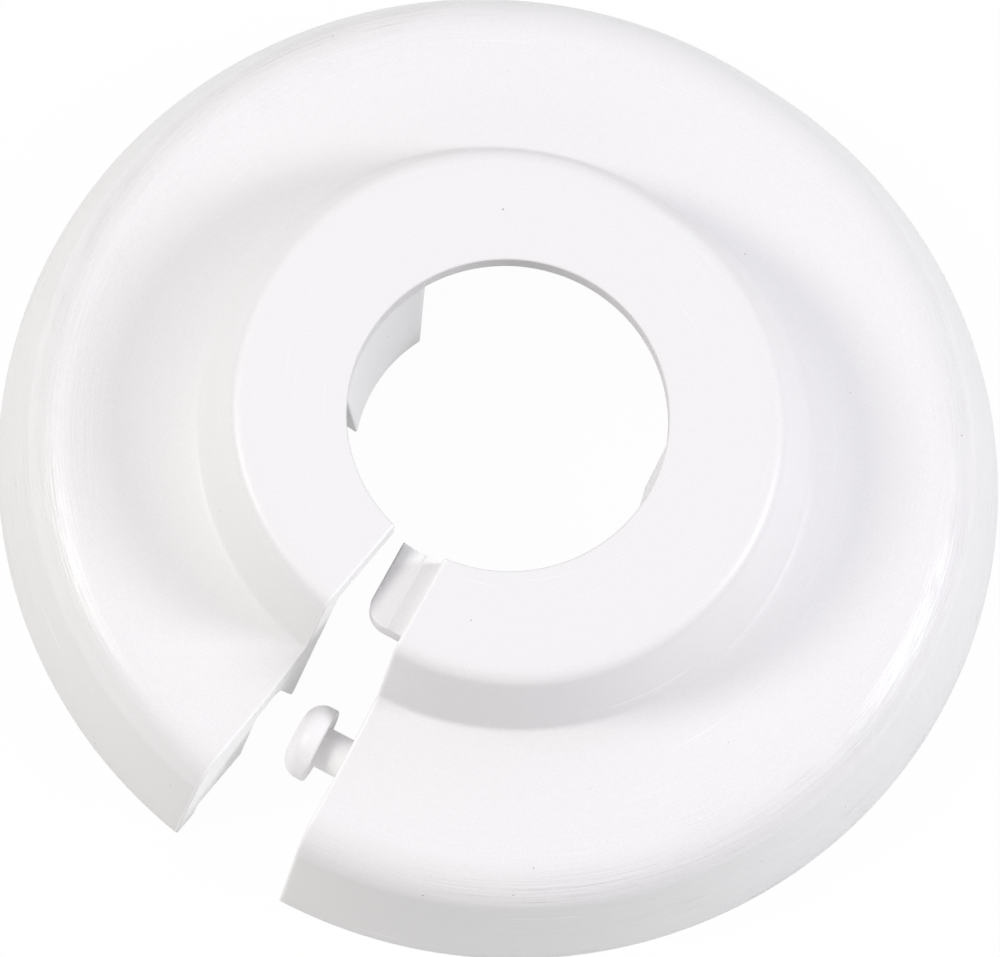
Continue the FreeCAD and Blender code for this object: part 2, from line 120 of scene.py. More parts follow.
# Measures that follow.
UNDER_PLATE = TOP - PLATE
FOOT_HEIGHT = CREST_HEIGHT + HOLLOW_DROP
BAND_HEIGHT = CREST_HEIGHT - RIM_ROUND
BAND_TOP = BAND_HEIGHT + RIM_ROUND * math.sin(DRAFT)
HUB_EDGE = FOOT_RADIUS - (TOP - FOOT_HEIGHT) * math.tan(DRAFT) - HUB_ROUND
HUB_INSIDE = FOOT_RADIUS - WALL
PLATE_END = FOOT_RADIUS - 2 * WALL
CREST_RADIUS = RIM_RADIUS - (RIM_ROUND + BAND_HEIGHT * math.sin(DRAFT)) / math.cos(DRAFT)
HOLLOW_RADIUS = ((CREST_RADIUS - FOOT_RADIUS) ** 2 + HOLLOW_DROP ** 2) / (2 * HOLLOW_DROP)
STUD_RADIUS = FOOT_RADIUS + STUD_SHARE * (CREST_RADIUS - FOOT_RADIUS)
STUD_HEIGHT = CREST_HEIGHT - STUD_DROP

# Steps of the wall section, which are the same on its outer and inner line, and round the plan.
SIDE_STEPS = 3
EDGE_STEPS = 4
PLATE_STEPS = 12
HUB_EDGE_STEPS = 10
HUB_STEPS = 8
FOOT_STEPS = 6
HOLLOW_STEPS = 22
RIM_STEPS = 14
BAND_STEPS = 8
HALF_STEPS = 150
STRAIGHT_STEPS = 3
END_STEP = math.radians(1.2)

# Steps of the lugs, tongue, webs and stud.
LUG_STEPS = 28
LUG_ROWS = 25
ROOT_STEPS = 4
NECK_STEPS = 64
CORNER_STEPS = 25
TONGUE_ROWS = 12
WEB_STEPS = (10, 10, 4, 6)
WEB_ROWS = 5
FLARE_STEPS = 8
NOTCH_STEPS = 14
LIP_STEPS = 5
HEAD_STEPS = 12
STUD_SIDES = 72

# Mesh: lengths taken as nothing, points merged within this, edges crisp above this angle.
NOTHING = 1e-12
MERGE = 1e-8
CRISP = math.radians(38)

# Plastic: colours, with painted shade on the band and painted light on the inner faces, and sheen.
PLASTIC = (0.93, 0.913, 0.918)
PLASTIC_GRAIN = (0.885, 0.868, 0.873)
# Greyer band colour: partly the band's own finish below the parting line, partly painted shade.
BAND_GREY_AND_SHADE = (0.853, 0.842, 0.84)
# Painted light: a whiter colour for the sheltered inner faces, which the lamps barely reach.
INSIDE_PAINTED_LIGHT = (0.985, 0.975, 0.975)
SCRATCH = (0.98, 0.97, 0.97)
SPECK = (0.5, 0.46, 0.44)
SATIN = 0.33
HUB_SATIN = 0.4
DULLER = 0.5
INSIDE_EDGE = 0.3 * MM
FLANGE_INSIDE = 0.4
PARTING_EDGE = 0.3 * MM

# Turning marks of the mould: size, depth, and how deep they are away from the rim's two sides.
MARK_PITCH = 0.13 * MM
MARK_LENGTH = 7.0 * MM
MARK_DEPTH = 0.055 * MM
MARK_SPREAD = 3.0 * MM
MARK_REST = 0.12
BAND_MARKS = 2.5
FRONT_MARKS = 0.25
SIDE_FROM = 8.0 * MM
SIDE_FULL = 21.0 * MM
PATCH = 3.0 * MM
PATCH_FROM = 0.35
PATCH_FULL = 0.65
PATCH_REST = 0.5
NOISE_MIDDLE = 0.5

# Grain, hair scratches and specks; a scratch or speck shows between the two levels of its noise.
GRAIN = 0.075 * MM
GRAIN_DEPTH = 0.004 * MM
GRAIN_FROM = 0.3
GRAIN_FULL = 0.7
SCRATCH_WIDTH = 0.12 * MM
SCRATCH_LENGTH = 12.0 * MM
SCRATCH_FROM = 0.7
SCRATCH_FULL = 0.76
SPECK_SPACING = 1.7 * MM
SPECK_SIZE = 0.09 * MM
SPECK_CORE = 0.6

# Floor, room light and softboxes: name, bearing and elevation in degrees, watts, colour.
WHITE = (1, 1, 1, 1)
FLOOR_WHITE = (0.9, 0.9, 0.9, 1)
FLOOR_HALF = 1.5
PAPER_SHARE = 0.975
ROOM_LIGHT = 0.38
LAMP_DISTANCE = 0.6
SOFTBOX_SIZE = 0.15
SOFTBOXES = [
    ("right", 97, 38.5, 1.66, (0.95, 0.95, 1.0)),
    ("left", 275, 45, 1.43, (1.0, 0.98, 0.935)),
    ("far_left", 315, 60, 0.31, (0.8, 0.85, 1.0)),
]

# Camera of the photograph: steep view from the gap's side, slightly turned and rolled.
VIEW_TILT = math.radians(15.24)
VIEW_TURN = math.radians(25.0)
VIEW_ROLL = math.radians(8.97)
VIEW_WIDTH = 56.18 * MM
VIEW_OFF_RIGHT = 0.108 * MM
VIEW_OFF_UP = -0.044 * MM
LENS = 1200.0
SENSOR = 36.0
NEAREST = 0.01
FARTHEST_SHARE = 3


def pair(across, up):
    """Point of a section, distance across and height up."""
    return np.array([across, up])


def straight(start, end, count):
    """Even steps from start towards end, without the end itself."""
    share = np.arange(count)[:, None] / count
    return start + (end - start) * share


def arc(centre, radius, first, last, count):
    """Points on a circle at even angles from the first towards the last, without the last itself."""
    angle = first + (last - first) * np.arange(count) / count
    return centre + radius * np.column_stack([np.cos(angle), np.sin(angle)])


def unit(vector):
    """Vector of length one in the same direction."""
    return vector / np.linalg.norm(vector)


def angle_of(vector):
    """Angle of a section's vector, from 0 to a full turn, counted from across towards up."""
    return math.atan2(vector[1], vector[0]) % math.tau


def corner(before, point, after, radius, count):
    """Arc that touches both sides of a corner.
    Its centre lies on the line of half the corner's angle, radius / sin(half) away."""
    back, ahead = unit(before - point), unit(after - point)
    half = math.acos(float(back @ ahead)) / 2
    centre = point + unit(back + ahead) * radius / math.sin(half)
    start = point + back * radius / math.tan(half) - centre
    end = point + ahead * radius / math.tan(half) - centre
    first = math.atan2(start[1], start[0])
    sweep = math.atan2(start[0] * end[1] - start[1] * end[0], float(start @ end))
    return arc(centre, radius, first, first + sweep, count)


def leaving(point, way, centre, radius):
    """Point where a line that starts at a point leaves a circle."""
    apart = point - centre
    along = float(apart @ way)
    return point + way * (math.sqrt(along ** 2 - float(apart @ apart) + radius ** 2) - along)


def wall_section():
    """Outer and inner line of the wall as (radius, height), point for point opposite each other.
    Both run from the middle of the bore's side to the middle of the base ring."""
    down_hub = pair(math.sin(DRAFT), -math.cos(DRAFT))
    off_hub = pair(math.cos(DRAFT), math.sin(DRAFT))
    up_band = pair(-BAND_HEIGHT * math.tan(DRAFT), BAND_HEIGHT)
    foot = pair(FOOT_RADIUS, FOOT_HEIGHT)
    rim_centre = pair(CREST_RADIUS, BAND_HEIGHT)
    hollow_centre = pair(CREST_RADIUS, CREST_HEIGHT + HOLLOW_RADIUS)
    hollow_end = 1.5 * math.pi
    hub_corner = foot - down_hub * (TOP - FOOT_HEIGHT) / math.cos(DRAFT)
    rim = pair(RIM_RADIUS, 0)
    rim_inside = rim - pair(WALL / math.cos(DRAFT), 0)
    bore_top, bore_low = pair(BORE, TOP), pair(BORE, UNDER_PLATE)
    bore_middle, base_middle = (bore_top + bore_low) / 2, (rim + rim_inside) / 2

    # Small rounding at the hub's foot: it touches the hub wall and the hollow's circle from above.
    beside_foot = foot + off_hub * FOOT_ROUND
    foot_centre = leaving(beside_foot, down_hub, hollow_centre, HOLLOW_RADIUS - FOOT_ROUND)
    foot_touch = hollow_centre + unit(foot_centre - hollow_centre) * HOLLOW_RADIUS
    foot_angle = angle_of(foot_touch - foot_centre)
    hollow_angle = angle_of(foot_touch - hollow_centre)

    edge_run = HUB_ROUND * math.tan((math.pi / 2 - DRAFT) / 2)
    hub_edge_centre = hub_corner - pair(edge_run, HUB_ROUND)
    bore_edge = corner(bore_middle, bore_top, hub_corner, EDGE_ROUND, EDGE_STEPS)
    rim_edge = corner(rim + up_band, rim, base_middle, EDGE_ROUND, EDGE_STEPS)
    outer = np.concatenate([
        straight(bore_middle, bore_edge[0], SIDE_STEPS),
        bore_edge,
        straight(bore_top + pair(EDGE_ROUND, 0), hub_edge_centre + pair(0, HUB_ROUND), PLATE_STEPS),
        arc(hub_edge_centre, HUB_ROUND, math.pi / 2, DRAFT, HUB_EDGE_STEPS),
        straight(hub_edge_centre + off_hub * HUB_ROUND, foot_centre - off_hub * FOOT_ROUND, HUB_STEPS),
        arc(foot_centre, FOOT_ROUND, math.pi + DRAFT, foot_angle, FOOT_STEPS),
        arc(hollow_centre, HOLLOW_RADIUS, hollow_angle, hollow_end, HOLLOW_STEPS),
        arc(rim_centre, RIM_ROUND, math.pi / 2, DRAFT, RIM_STEPS),
        straight(rim_centre + off_hub * RIM_ROUND, rim_edge[0], BAND_STEPS),
        rim_edge,
        base_middle[None],
    ])

    hub_inside = foot - off_hub * WALL
    inner_top = hub_inside - down_hub * (UNDER_PLATE - hub_inside[1]) / math.cos(DRAFT)
    inner_foot = leaving(inner_top, down_hub, hollow_centre, HOLLOW_RADIUS + WALL)
    inner_angle = angle_of(inner_foot - hollow_centre)
    bore_edge = corner(bore_middle, bore_low, inner_top, EDGE_ROUND, EDGE_STEPS)
    inner_edge = corner(bore_low, inner_top, inner_foot, INSIDE_ROUND, HUB_EDGE_STEPS)
    rim_edge = corner(rim_inside + up_band, rim_inside, base_middle, EDGE_ROUND, EDGE_STEPS)
    inner = np.concatenate([
        straight(bore_middle, bore_edge[0], SIDE_STEPS),
        bore_edge,
        straight(bore_low + pair(EDGE_ROUND, 0), inner_edge[0], PLATE_STEPS),
        inner_edge,
        straight(inner_top + down_hub * INSIDE_ROUND, inner_foot, HUB_STEPS + FOOT_STEPS),
        arc(hollow_centre, HOLLOW_RADIUS + WALL, inner_angle, hollow_end, HOLLOW_STEPS),
        arc(rim_centre, RIM_ROUND - WALL, math.pi / 2, DRAFT, RIM_STEPS),
        straight(rim_centre + off_hub * (RIM_ROUND - WALL), rim_edge[0], BAND_STEPS),
        rim_edge,
        base_middle[None],
    ])
    return outer, inner


def loop_of(first, second):
    """Closed loop: out along the first line and back along the second, which share both ends."""
    return np.concatenate([first, second[-2:0:-1]])


def raised(plan, height):
    """Plan points in space, at the given heights."""
    return np.concatenate([plan, np.broadcast_to(height[..., None], plan.shape[:2] + (1,))], axis=2)


def spread(section, base, out):
    """Loops in space: every (radius, height) of a section carried out from its base points."""
    return raised(base[:, None, :] + section[..., :1] * out[:, None, :], section[..., 1])


def rounded_ends(loops, first_way, last_way, radius):
    """Loops with both ends rounded.
    The end loop moves on by r sin(t) while it draws in by r (1 - cos(t))."""
    angle = np.linspace(0, math.pi / 2, EDGE_STEPS + 1)[1:, None, None]

    def rows(loop, way):
        """Rows beyond an end loop, one for each angle."""
        tangent = np.roll(loop, -1, axis=0) - np.roll(loop, 1, axis=0)
        inward = np.cross(way, tangent)
        inward *= np.sign(np.sum(inward * (loop.mean(axis=0) - loop)))
        inward /= np.maximum(np.linalg.norm(inward, axis=1, keepdims=True), NOTHING)
        return loop + way * radius * np.sin(angle) + inward * radius * (1 - np.cos(angle))

    return np.concatenate([rows(loops[0], first_way)[::-1], loops, rows(loops[-1], last_way)])


def half_centre(side):
    """Point of the plan about which a half is turned."""
    return np.array([side * HALF_SPREAD, 0.0])


def gap_face(side):
    """Plan direction outwards along a half's gap face."""
    return np.array([side * math.sin(GAP_LEAN), -math.cos(GAP_LEAN)])


def gap_way(side):
    """Plan direction in which a half's gap face looks, into the gap."""
    return np.array([-side * math.cos(GAP_LEAN), -math.sin(GAP_LEAN)])


def level(plan):
    """Level direction or point in space from one of the plan."""
    return np.append(plan, 0)


def to_circle(radius, base, out):
    """Distance from a base point out to a circle about the axis.
    With a = base . out it is sqrt(radius squared - base squared + a squared) - a."""
    across = np.sum(base * out, axis=1)
    return np.sqrt(radius ** 2 - np.sum(base ** 2, axis=1) + across ** 2) - across


def shell():
    """Wall section carried round both halves and the short straight between them.
    A station at angle t has its base on the half's centre and looks out along (sin t, cos t)."""
    section = loop_of(*wall_section())
    half = np.linspace(0, math.pi - GAP_LEAN - END_STEP, HALF_STEPS)
    angle = np.concatenate([-half[::-1], np.zeros(STRAIGHT_STEPS), half])
    between = np.linspace(-0.5, 0.5, STRAIGHT_STEPS)
    along = np.concatenate([np.full(HALF_STEPS, -1.0), between, np.full(HALF_STEPS, 1.0)])
    out = np.column_stack([np.sin(angle), np.cos(angle)])
    base = np.column_stack([along * HALF_SPREAD, np.zeros_like(along)])
    ends = [half_centre(side) - gap_way(side) * EDGE_ROUND for side in (LEFT, RIGHT)]
    base = np.concatenate([ends[:1], base, ends[1:]])
    out = np.concatenate([[gap_face(LEFT)], out, [gap_face(RIGHT)]])

    # The bore is round about the axis itself, so the plate is drawn out or in to meet it.
    share = np.clip((PLATE_END - section[:, 0]) / (PLATE_END - BORE), 0, 1)
    radius = section[None, :, 0] + share[None, :] * (to_circle(BORE, base, out) - BORE)[:, None]
    height = np.broadcast_to(section[None, :, 1], radius.shape)
    loops = spread(np.stack([radius, height], axis=2), base, out)
    return rounded_ends(loops, level(gap_way(LEFT)), level(gap_way(RIGHT)), EDGE_ROUND)


def bore_at(height):
    """Radius of the bore's own surface: constant in the plate, then leaning in down to the lugs' grip."""
    return BORE - LUG_REACH * np.clip((UNDER_PLATE - height) / LUG_LEAD, 0, 1)


def lug(side):
    """Grip lug: at each share of its width, which grows upwards, the front follows the bore's surface.
    Its back is flat."""
    top = UNDER_PLATE + PLATE / 2
    back = BORE + LUG_BACK
    bend = np.linspace(0, math.pi / 2, EDGE_STEPS + 1)[1:]
    lower_edge = LUG_BOTTOM + EDGE_ROUND * (1 - np.sin(bend))
    height = np.concatenate([np.linspace(top, LUG_BOTTOM + EDGE_ROUND, LUG_STEPS), lower_edge])
    inset = np.concatenate([np.zeros(LUG_STEPS), EDGE_ROUND * (1 - np.cos(bend))])
    half = LUG_WIDTH / 2 - EDGE_ROUND + (height - LUG_BOTTOM) * math.tan(LUG_DRAFT)
    across = np.linspace(-1, 1, LUG_ROWS)[:, None] * half
    front = np.sqrt(bore_at(height) ** 2 - across ** 2) + inset
    rear = np.broadcast_to(back - inset, front.shape)
    middle = (front + rear) / 2
    along = np.concatenate([middle[:, :1], front, middle[:, -1:], rear[:, ::-1]], axis=1)
    across = np.concatenate([across[:, :1], across, across[:, -1:], across[:, ::-1]], axis=1)
    up = np.concatenate([[top], height, [LUG_BOTTOM], height[::-1]])
    loops = np.stack([side * along, across, np.broadcast_to(up, along.shape)], axis=2)
    aside = np.array([0, 1.0, 0])
    return rounded_ends(loops, -aside, aside, EDGE_ROUND)


def tongue():
    """Snap tongue: its (reach, height) loop carried from the bore's surface out to a rounded plan corner.
    On top the neck rises to a fine ridge and falls off it by a steep logistic step. The nose then slopes
    away, with the softened corner (p + sqrt(p squared + bend squared)) / 2 of the reach p past the neck."""
    top = UNDER_PLATE - SLIDE_GAP
    low = top - TONGUE_THICKNESS
    corner_start = TONGUE_LENGTH - TONGUE_CORNER
    reach = np.concatenate([
        np.linspace(-TONGUE_ROOT, -SET_BACK, ROOT_STEPS),
        np.linspace(-SET_BACK, corner_start, NECK_STEPS),
        corner_start + TONGUE_CORNER * np.sin(np.linspace(0, math.pi / 2, CORNER_STEPS + 1)[1:]),
    ])
    past = reach - TONGUE_NECK
    slope = TONGUE_NOSE / (TONGUE_LENGTH - TONGUE_NECK)
    upper = top - slope * (past + np.sqrt(past ** 2 + TONGUE_BEND ** 2)) / 2
    upper += RIDGE * np.clip(reach / TONGUE_NECK, 0, 1) / (1 + np.exp(past / RIDGE_FALL))
    upper[:ROOT_STEPS] = UNDER_PLATE + PLATE / 2
    tip = np.clip(reach - TONGUE_LENGTH + EDGE_ROUND, 0, EDGE_ROUND)
    drop = EDGE_ROUND - np.sqrt(EDGE_ROUND ** 2 - tip ** 2)
    upper, lower = upper - drop, low + drop
    middle = (upper + lower) / 2
    reach = np.concatenate([reach[:1], reach, reach[-1:], reach[::-1]])
    height = np.concatenate([middle[:1], upper, middle[-1:], lower[::-1]])

    face = gap_face(RIGHT)
    base = half_centre(RIGHT) + reach[:, None] * gap_way(RIGHT)
    inner = to_circle(bore_at(height), base, face)
    turn = np.clip(reach - corner_start, 0, TONGUE_CORNER)
    outer = TONGUE_OUTER - TONGUE_CORNER + np.sqrt(TONGUE_CORNER ** 2 - turn ** 2)
    radius = inner + (outer - inner) * np.linspace(0, 1, TONGUE_ROWS)[:, None]
    loops = raised(base[None] + radius[..., None] * face, height)
    return rounded_ends(loops, -level(face), level(face), TONGUE_EDGE)


def hub_line(height):
    """Radius of the hub wall's inner face, carried on downwards."""
    return FOOT_RADIUS - (height - FOOT_HEIGHT) * math.tan(DRAFT) - WALL / math.cos(DRAFT)


def band_line(height):
    """Radius of the middle of the rim's band."""
    return RIM_RADIUS - height * math.tan(DRAFT) - WALL / (2 * math.cos(DRAFT))


def web(side, opening):
    """End web: an arch between its outline inside the wall and the given opening line, carried through."""
    join = FOOT_HEIGHT - WALL / 2
    marks = [
        pair(hub_line(WEB_BOTTOM), WEB_BOTTOM),
        pair(hub_line(join), join),
        pair(CREST_RADIUS, CREST_HEIGHT - WALL / 2),
        pair(band_line(BAND_HEIGHT), BAND_HEIGHT),
        pair(band_line(WEB_BOTTOM), WEB_BOTTOM),
    ]
    runs = [straight(start, end, count) for start, end, count in zip(marks, marks[1:], WEB_STEPS)]
    outline = np.concatenate(runs + [marks[-1][None]])
    feet = (outline[0] + opening[0]) / 2, (outline[-1] + opening[-1]) / 2
    first = np.concatenate([feet[0][None], outline, feet[1][None]])
    second = np.concatenate([feet[0][None], opening, feet[1][None]])
    section = loop_of(first, second)
    face, way = gap_face(side), gap_way(side)
    depth = np.linspace(-WEB + WEB_EDGE, -SET_BACK - WEB_EDGE, WEB_ROWS)
    base = half_centre(side) + depth[:, None] * way
    sections = np.broadcast_to(section, (WEB_ROWS,) + section.shape)
    loops = spread(sections, base, np.broadcast_to(face, base.shape))
    return rounded_ends(loops, -level(way), level(way), WEB_EDGE)


def notch():
    """Opening of the left web: up one flare, round the shank's clearance, down the other flare."""
    radius = SHANK_RADIUS + NOTCH_GAP
    flare = radius + (NOTCH_MOUTH / 2 - radius) * (STUD_HEIGHT - WEB_BOTTOM) / STUD_HEIGHT
    centre = pair(STUD_RADIUS, STUD_HEIGHT)
    left, right = pair(STUD_RADIUS - flare, WEB_BOTTOM), pair(STUD_RADIUS + flare, WEB_BOTTOM)
    return np.concatenate([
        straight(left, centre - pair(radius, 0), FLARE_STEPS),
        arc(centre, radius, math.pi, 0, NOTCH_STEPS),
        straight(centre + pair(radius, 0), right, FLARE_STEPS),
        right[None],
    ])


def plain_sill():
    """Lower edge of the right web, straight between its feet."""
    left, right = pair(hub_line(WEB_BOTTOM), WEB_BOTTOM), pair(band_line(WEB_BOTTOM), WEB_BOTTOM)
    inset = (right - left) * SILL_INSET
    return np.concatenate([straight(left + inset, right - inset, sum(WEB_STEPS)), (right - inset)[None]])


def stud():
    """Mushroom stud: circles along its axis.
    Their radius follows the shank, the flat back of the head and its rounded front."""
    front = SHANK_LENGTH + HEAD_LENGTH
    bend = np.linspace(0, math.pi / 2, HEAD_STEPS)
    lip = np.linspace(-math.pi / 2, 0, LIP_STEPS)
    shank = [-WEB / 2, 0, SHANK_LENGTH / 2, SHANK_LENGTH - SHANK_END, SHANK_LENGTH]
    reach = np.concatenate([
        shank,
        SHANK_LENGTH + EDGE_ROUND + EDGE_ROUND * np.sin(lip),
        front - HEAD_ROUND + HEAD_ROUND * np.sin(bend),
    ])
    radius = np.concatenate([
        np.full(len(shank), SHANK_RADIUS),
        HEAD_RADIUS - EDGE_ROUND + EDGE_ROUND * np.cos(lip),
        HEAD_RADIUS - HEAD_ROUND + HEAD_ROUND * np.cos(bend),
    ])
    angle = np.arange(STUD_SIDES) * math.tau / STUD_SIDES
    face, way = level(gap_face(RIGHT)), level(gap_way(RIGHT))
    ring = np.cos(angle)[:, None] * face + np.sin(angle)[:, None] * UP
    start = level(half_centre(RIGHT)) + STUD_RADIUS * face + STUD_HEIGHT * UP
    return start + reach[:, None, None] * way + radius[:, None, None] * ring


def closed_faces(rows, count):
    """Quads and triangles of a closed loop carried over rows, with both ends capped.
    A cap joins each point of its loop to the opposite one and has a triangle at either tip."""
    row, place = np.meshgrid(np.arange(rows - 1) * count, np.arange(count), indexing="ij")
    after = (place + 1) % count
    sides = np.stack([row + place, row + after, row + count + after, row + count + place], axis=-1)
    step = np.arange(1, count // 2 - 1)
    cap = np.stack([step, step + 1, count - step - 1, count - step], axis=-1)
    middle = count // 2
    tips = np.array([[0, 1, count - 1], [middle - 1, middle, middle + 1]])
    last = (rows - 1) * count
    quads = np.concatenate([sides.reshape(-1, 4), cap[:, ::-1], cap + last])
    return quads, np.concatenate([tips[:, ::-1], tips + last])


def piece(name, forms, material):
    """One mesh of several closed forms, doubles merged, faces outwards, crisp only at true corners."""
    points, faces, used = [], [], 0
    for loops in forms:
        rows, count = loops.shape[:2]
        quads, tips = closed_faces(rows, count)
        points.append(loops.reshape(-1, 3))
        faces += (quads + used).tolist() + (tips + used).tolist()
        used += rows * count
    mesh = bpy.data.meshes.new(name)
    mesh.from_pydata(np.concatenate(points), [], faces)
    work = bmesh.new()
    work.from_mesh(mesh)
    bmesh.ops.remove_doubles(work, verts=work.verts, dist=MERGE)
    bmesh.ops.recalc_face_normals(work, faces=work.faces)
    work.to_mesh(mesh)
    work.free()
    mesh.shade_smooth()
    mesh.set_sharp_from_angle(angle=CRISP)
    mesh.materials.append(material)
    made = bpy.data.objects.new(name, mesh)
    bpy.context.scene.collection.objects.link(made)
    return made


def new_material(name):
    """Material with an empty node tree and its output node."""
    material = bpy.data.materials.new(name)
    material.use_nodes = True
    tree = material.node_tree
    tree.nodes.clear()
    return material, tree, tree.nodes.new("ShaderNodeOutputMaterial")


def feed(tree, socket, value):
    """Links a socket into another, or sets a plain value on it."""
    if isinstance(value, bpy.types.NodeSocket):
        tree.links.new(value, socket)
    else:
        socket.default_value = value


def maths(tree, operation, *values):
    """Math node with its inputs linked or set."""
    node = tree.nodes.new("ShaderNodeMath")
    node.operation = operation
    for socket, value in zip(node.inputs, values):
        feed(tree, socket, value)
    return node.outputs[0]


def product(tree, first, *others):
    """Several values multiplied."""
    for other in others:
        first = maths(tree, "MULTIPLY", first, other)
    return first


def field(tree, kind, vector, **values):
    """Outputs of a texture node read at a vector, with its inputs set by name."""
    node = tree.nodes.new(kind)
    tree.links.new(vector, node.inputs["Vector"])
    for name, value in values.items():
        node.inputs[name].default_value = value
    return node.outputs


def fade(tree, value, start, end, first, last):
    """Smooth change from the first number to the last as the value goes from start to end."""
    node = tree.nodes.new("ShaderNodeMapRange")
    node.interpolation_type = "SMOOTHSTEP"
    for socket, number in zip(node.inputs, (value, start, end, first, last)):
        feed(tree, socket, number)
    return node.outputs[0]


def blend(tree, share, first, second):
    """Colour between two, each a colour or a socket."""
    node = tree.nodes.new("ShaderNodeMix")
    node.data_type = "RGBA"
    tree.links.new(share, node.inputs["Factor"])
    for socket, colour in zip((node.inputs[6], node.inputs[7]), (first, second)):
        feed(tree, socket, (*colour, 1) if isinstance(colour, tuple) else colour)
    return node.outputs[2]


def turned(tree, ring, x, y, width, length):
    """Noise drawn out along the rings: narrow in the ring's radius and long in the plan."""
    drawn = tree.nodes.new("ShaderNodeCombineXYZ")
    for socket, value, size in zip(drawn.inputs, (ring, x, y), (width, length, length)):
        tree.links.new(maths(tree, "DIVIDE", value, size), socket)
    return field(tree, "ShaderNodeTexNoise", drawn.outputs[0], Scale=1.0, Detail=2.0, Roughness=0.6)[0]


def plan_rings(tree, x, y):
    """Distance beside the halves' centres, and radius of the ring through a point.
    The ring's radius is the square root of beside squared plus y squared."""
    beside = maths(tree, "MAXIMUM", maths(tree, "SUBTRACT", maths(tree, "ABSOLUTE", x), HALF_SPREAD), 0.0)
    squares = maths(tree, "ADD", maths(tree, "POWER", beside, 2.0), maths(tree, "POWER", y, 2.0))
    return beside, maths(tree, "SQRT", squares)


def sheltered(tree, beside, ring, y, z):
    """1 on the inner faces, which lie below a ceiling that falls from the plate to the crest's height,
    less under the flange, and 1 on the gap faces. This mask carries the painted light that whitens
    these faces, as well as their lighter marks and satin sheen."""
    ceiling = fade(tree, ring, BORE, HUB_INSIDE, UNDER_PLATE, CREST_HEIGHT)
    inner = product(
        tree,
        fade(tree, maths(tree, "SUBTRACT", ceiling, z), 0.0, INSIDE_EDGE, 0.0, 1.0),
        fade(tree, ring, CREST_RADIUS, CREST_RADIUS + INSIDE_EDGE, 1.0, 0.0),
        fade(tree, ring, HUB_INSIDE, FOOT_RADIUS, 1.0, FLANGE_INSIDE),
    )
    across_gap = maths(tree, "MULTIPLY", beside, math.cos(GAP_LEAN))
    off_gap = maths(tree, "ADD", across_gap, maths(tree, "MULTIPLY", y, math.sin(GAP_LEAN)))
    at_gap = fade(tree, maths(tree, "ABSOLUTE", off_gap), EDGE_ROUND, 2 * EDGE_ROUND, 1.0, 0.0)
    return maths(tree, "MAXIMUM", inner, at_gap)


def relief(tree, place, x, y, z, ring, inside, grain):
    """Height of the surface: turning marks, deepest on the band at the rim's two sides, and fine grain."""
    marks = maths(tree, "SUBTRACT", turned(tree, ring, x, y, MARK_PITCH, MARK_LENGTH), NOISE_MIDDLE)
    patches = field(tree, "ShaderNodeTexNoise", place, Scale=1 / PATCH, Detail=2.0)[0]
    band = maths(tree, "ADD", ring, maths(tree, "MULTIPLY", z, math.tan(DRAFT)))
    depth = product(
        tree,
        fade(tree, ring, CREST_RADIUS - MARK_SPREAD, CREST_RADIUS, MARK_DEPTH * MARK_REST, MARK_DEPTH),
        fade(tree, band, RIM_RADIUS - WALL, RIM_RADIUS, 1.0, BAND_MARKS),
        fade(tree, patches, PATCH_FROM, PATCH_FULL, PATCH_REST, 1.0),
        fade(tree, maths(tree, "ABSOLUTE", x), SIDE_FROM, SIDE_FULL, FRONT_MARKS, 1.0),
        fade(tree, inside, 0.0, 1.0, 1.0, MARK_REST),
    )
    return maths(tree, "ADD", product(tree, marks, depth), product(tree, grain, GRAIN_DEPTH))


def dullness(tree, ring, inside):
    """Roughness: satin from the crest outwards and on sheltered faces, less so on the hub.
    It is duller elsewhere."""
    rim = fade(tree, ring, CREST_RADIUS - MARK_SPREAD, CREST_RADIUS, DULLER, SATIN)
    hub_top = fade(tree, ring, HUB_EDGE - INSIDE_EDGE, HUB_EDGE, 0.0, 1.0)
    hub_foot = fade(tree, ring, FOOT_RADIUS, FOOT_RADIUS + FOOT_ROUND, 1.0, 0.0)
    hub = fade(tree, product(tree, hub_top, hub_foot), 0.0, 1.0, DULLER, HUB_SATIN)
    inner = fade(tree, inside, 0.0, 1.0, DULLER, SATIN)
    return maths(tree, "MINIMUM", maths(tree, "MINIMUM", rim, hub), inner)


def tint(tree, place, x, y, z, ring, inside, grain):
    """Colour: grained white; greyer on the band below the parting line, partly its finish and partly
    painted shade;
    whiter on sheltered faces as painted light; with long hair scratches and dark specks over it."""
    on_band = fade(tree, z, BAND_TOP - PARTING_EDGE, BAND_TOP + PARTING_EDGE, 1.0, 0.0)
    outside = fade(tree, ring, CREST_RADIUS, CREST_RADIUS + INSIDE_EDGE, 0.0, 1.0)
    scratches = turned(tree, ring, x, y, SCRATCH_WIDTH, SCRATCH_LENGTH)
    dots = field(tree, "ShaderNodeTexVoronoi", place, Scale=1 / SPECK_SPACING)
    from_dot = maths(tree, "DIVIDE", dots[0], product(tree, dots[1], SPECK_SIZE / SPECK_SPACING))
    colour = blend(tree, fade(tree, grain, GRAIN_FROM, GRAIN_FULL, 0.0, 1.0), PLASTIC, PLASTIC_GRAIN)
    # Band below the parting line greyed: partly its finish, partly painted shade.
    colour = blend(tree, product(tree, on_band, outside), colour, BAND_GREY_AND_SHADE)
    # Painted light: the sheltered inner faces are whitened.
    colour = blend(tree, inside, colour, INSIDE_PAINTED_LIGHT)
    colour = blend(tree, fade(tree, scratches, SCRATCH_FROM, SCRATCH_FULL, 0.0, 1.0), colour, SCRATCH)
    return blend(tree, fade(tree, from_dot, SPECK_CORE, 1.0, 1.0, 0.0), colour, SPECK)


